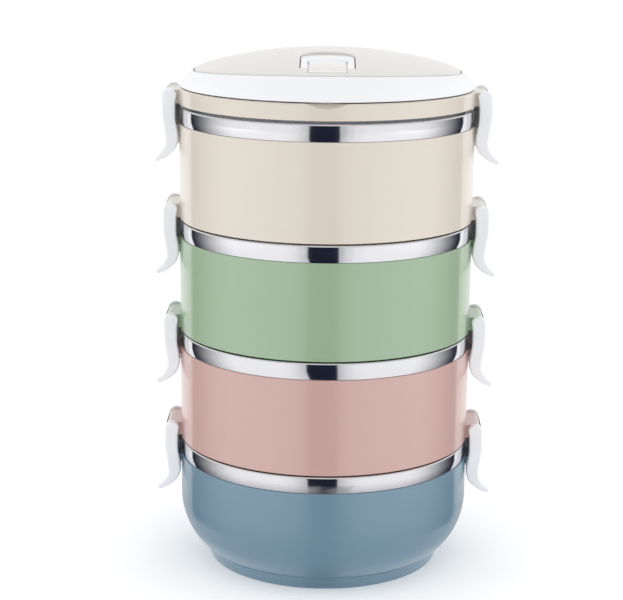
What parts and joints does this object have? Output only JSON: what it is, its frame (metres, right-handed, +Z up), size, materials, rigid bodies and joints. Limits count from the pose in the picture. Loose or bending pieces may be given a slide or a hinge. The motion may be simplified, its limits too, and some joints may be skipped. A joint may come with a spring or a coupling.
{
  "type": "tiffin carrier",
  "caption": "Round stacking lunch carrier: coloured plastic food tiers with steel bowls, side latches, and a domed lid with a fold-down carry handle and a steam vent flap.",
  "frame": {"origin": "middle of the foot ring's underside, on the surface the carrier stands on", "axes": "+Z up along the stack, +X to the right through the right-hand latches, -Y to the front where the handle and the vent flap are"},
  "size_m": [0.1666, 0.145, 0.2576],
  "materials": {
    "cream_plastic": "glossy moulded cream plastic",
    "green_plastic": "glossy moulded pale green plastic",
    "pink_plastic": "glossy moulded pale pink plastic",
    "blue_plastic": "glossy moulded grey-blue plastic",
    "white_plastic": "smooth white moulded plastic",
    "polished_steel": "mirror-polished stainless sheet",
    "pin_steel": "plain drawn steel",
    "silicone": "milky soft silicone"
  },
  "bodies": {
    "base_tier": {"blue_shell": "blue_plastic", "blue_bowl": "polished_steel", "foot_ring": "blue_plastic"},
    "pink_tier": {"pink_shell": "pink_plastic", "pink_base": "pink_plastic", "pink_seal": "silicone", "pink_bowl": "polished_steel", "pink_latch_pin_left": "pin_steel", "pink_latch_pin_right": "pin_steel"},
    "green_tier": {"green_shell": "green_plastic", "green_base": "green_plastic", "green_seal": "silicone", "green_bowl": "polished_steel", "green_latch_pin_left": "pin_steel", "green_latch_pin_right": "pin_steel"},
    "cream_tier": {"cream_shell": "cream_plastic", "cream_base": "cream_plastic", "cream_seal": "silicone", "cream_bowl": "polished_steel", "cream_latch_pin_left": "pin_steel", "cream_latch_pin_right": "pin_steel"},
    "lid": {"lid_rim": "cream_plastic", "lid_panel": "cream_plastic", "lid_liner": "white_plastic", "lid_seal": "silicone", "vent_housing": "white_plastic", "vent_flap_pin": "pin_steel", "handle_pin_left": "pin_steel", "handle_pin_right": "pin_steel", "lid_latch_pin_left": "pin_steel", "lid_latch_pin_right": "pin_steel"},
    "pink_latch_left_lever": {"pink_latch_left": "white_plastic"},
    "pink_latch_right_lever": {"pink_latch_right": "white_plastic"},
    "green_latch_left_lever": {"green_latch_left": "white_plastic"},
    "green_latch_right_lever": {"green_latch_right": "white_plastic"},
    "cream_latch_left_lever": {"cream_latch_left": "white_plastic"},
    "cream_latch_right_lever": {"cream_latch_right": "white_plastic"},
    "lid_latch_left_lever": {"lid_latch_left": "white_plastic"},
    "lid_latch_right_lever": {"lid_latch_right": "white_plastic"},
    "handle": {"carry_handle": "white_plastic"},
    "flap": {"vent_flap": "white_plastic", "vent_plug": "silicone"}
  },
  "joints": [
    {"name": "pink_lift", "type": "slide", "parent": "base_tier", "child": "pink_tier", "axis": [0, 0, 1], "range_m": [0, 0.08]},
    {"name": "green_lift", "type": "slide", "parent": "pink_tier", "child": "green_tier", "axis": [0, 0, 1], "range_m": [0, 0.08]},
    {"name": "cream_lift", "type": "slide", "parent": "green_tier", "child": "cream_tier", "axis": [0, 0, 1], "range_m": [0, 0.08]},
    {"name": "lid_lift", "type": "slide", "parent": "cream_tier", "child": "lid", "axis": [0, 0, 1], "range_m": [0, 0.08]},
    {"name": "pink_latch_left_hinge", "type": "hinge", "parent": "pink_tier", "child": "pink_latch_left_lever", "pos_m": [-0.0762, 0, 0.0668], "axis": [0, 1, 0], "range_deg": [0, 100]},
    {"name": "pink_latch_right_hinge", "type": "hinge", "parent": "pink_tier", "child": "pink_latch_right_lever", "pos_m": [0.0762, 0, 0.0668], "axis": [0, -1, 0], "range_deg": [0, 100]},
    {"name": "green_latch_left_hinge", "type": "hinge", "parent": "green_tier", "child": "green_latch_left_lever", "pos_m": [-0.0762, 0, 0.1226], "axis": [0, 1, 0], "range_deg": [0, 100]},
    {"name": "green_latch_right_hinge", "type": "hinge", "parent": "green_tier", "child": "green_latch_right_lever", "pos_m": [0.0762, 0, 0.1226], "axis": [0, -1, 0], "range_deg": [0, 100]},
    {"name": "cream_latch_left_hinge", "type": "hinge", "parent": "cream_tier", "child": "cream_latch_left_lever", "pos_m": [-0.0762, 0, 0.1784], "axis": [0, 1, 0], "range_deg": [0, 100]},
    {"name": "cream_latch_right_hinge", "type": "hinge", "parent": "cream_tier", "child": "cream_latch_right_lever", "pos_m": [0.0762, 0, 0.1784], "axis": [0, -1, 0], "range_deg": [0, 100]},
    {"name": "lid_latch_left_hinge", "type": "hinge", "parent": "lid", "child": "lid_latch_left_lever", "pos_m": [-0.0762, 0, 0.2342], "axis": [0, 1, 0], "range_deg": [0, 100]},
    {"name": "lid_latch_right_hinge", "type": "hinge", "parent": "lid", "child": "lid_latch_right_lever", "pos_m": [0.0762, 0, 0.2342], "axis": [0, -1, 0], "range_deg": [0, 100]},
    {"name": "handle_hinge", "type": "hinge", "parent": "lid", "child": "handle", "pos_m": [0, 0, 0.2439], "axis": [-1, 0, 0], "range_deg": [0, 90]},
    {"name": "vent_flap_hinge", "type": "hinge", "parent": "lid", "child": "flap", "pos_m": [0, -0.0348, 0.25326], "axis": [-1, 0, 0], "range_deg": [0, 80]}
  ]
}
